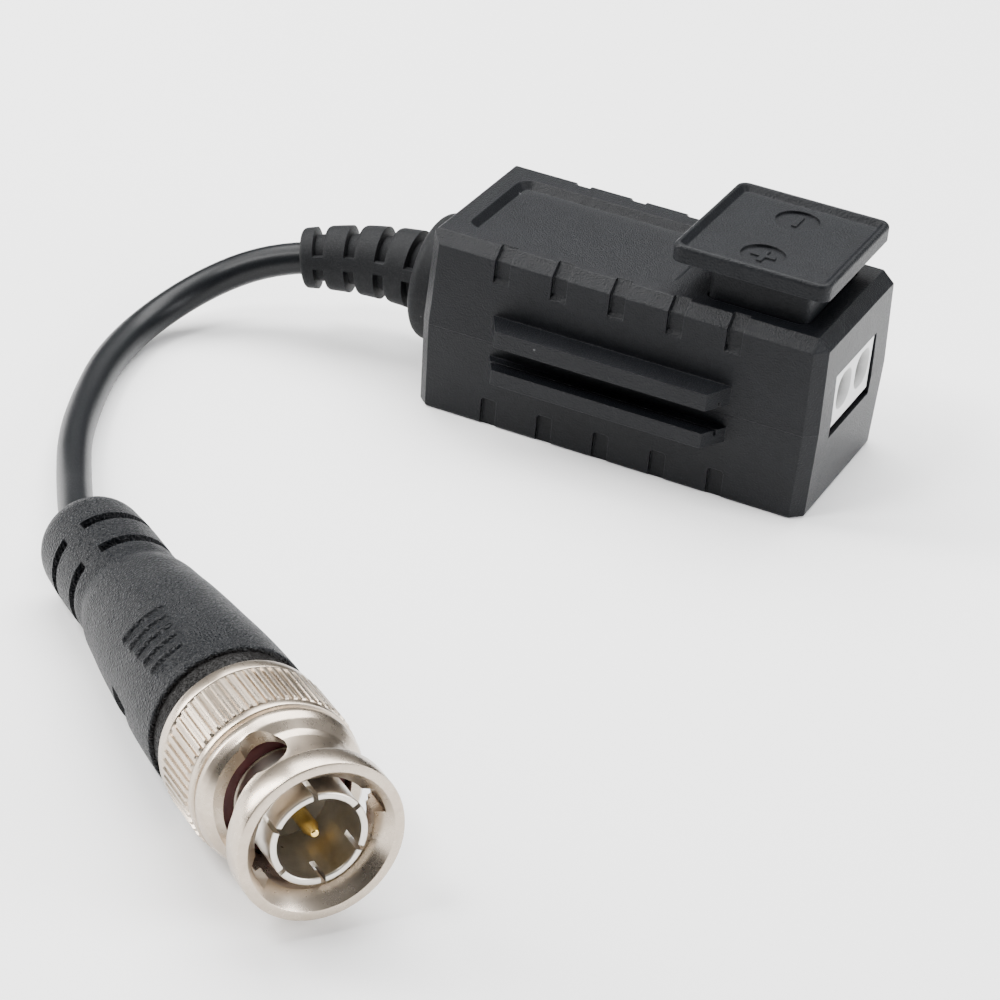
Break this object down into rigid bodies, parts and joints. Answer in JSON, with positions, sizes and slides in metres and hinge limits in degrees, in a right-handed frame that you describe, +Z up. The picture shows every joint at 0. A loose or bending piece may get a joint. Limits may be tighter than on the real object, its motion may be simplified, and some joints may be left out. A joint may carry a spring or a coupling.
{
  "type": "cctv video balun",
  "caption": "Passive video balun: black snap-together housing with a push button over a two-way wire terminal, and a short coaxial lead ending in a bayonet plug.",
  "frame": {"origin": "centre of the housing's flat base", "axes": "+X along the housing towards the wire terminals, +Y across it to the side with the tongue rail, +Z up through the push button"},
  "size_m": [0.0711, 0.1082, 0.024],
  "materials": {
    "shell_black": "fine textured",
    "button_black": "fine textured",
    "boot_black": "matt",
    "cable_black": "satin",
    "nylon_white": "satin",
    "spring_steel": "bright",
    "contact_brass": "tinned",
    "board_green": "satin",
    "ferrite_grey": "matt",
    "copper_enamel": "gloss enamel",
    "part_black": "satin",
    "ceramic_tan": "matt",
    "plug_nickel": "satin nickel",
    "dielectric_white": "satin",
    "pin_gold": "gold plated",
    "gasket_red": "matt"
  },
  "bodies": {
    "housing": {"upper_shell": "shell_black", "lower_shell": "shell_black", "terminal_block": "nylon_white", "clamp_spring_near": "spring_steel", "clamp_spring_far": "spring_steel", "contact_bar_near": "contact_brass", "contact_bar_far": "contact_brass", "circuit_board": "board_green", "balun_core": "ferrite_grey", "winding_line": "copper_enamel", "winding_coax": "copper_enamel", "surge_protector": "part_black", "matching_capacitor": "ceramic_tan", "matching_resistor": "part_black", "housing_boot": "boot_black", "coax_lead_in": "cable_black", "coax_core_tail": "copper_enamel", "coax_braid_tail": "copper_enamel", "coax_cable": "cable_black", "coax_plug_end": "cable_black", "plug_boot": "boot_black", "plug_body": "plug_nickel", "plug_ferrule": "plug_nickel", "plug_insulator": "dielectric_white", "centre_pin": "pin_gold", "plug_gasket": "gasket_red", "wave_spring": "spring_steel"},
    "button": {"push_button": "button_black"},
    "nut_carrier": {"thrust_washer": "spring_steel"},
    "nut": {"coupling_nut": "plug_nickel"}
  },
  "joints": [
    {"name": "button_press", "type": "slide", "parent": "housing", "child": "button", "axis": [0, 0, -1], "range_m": [0, 0.0029], "stiffness_N_per_m": 1200, "deforming": ["clamp_spring_near", "clamp_spring_far"]},
    {"name": "nut_float", "type": "slide", "parent": "housing", "child": "nut_carrier", "axis": [0.773, -0.6304, 0.0706], "range_m": [0, 0.0006], "stiffness_N_per_m": 4000, "deforming": ["wave_spring"]},
    {"name": "nut_turn", "type": "hinge", "parent": "nut_carrier", "child": "nut", "pos_m": [0.0115, -0.09035, 0.00842], "axis": [-0.773, 0.6304, -0.0706], "continuous": true}
  ]
}
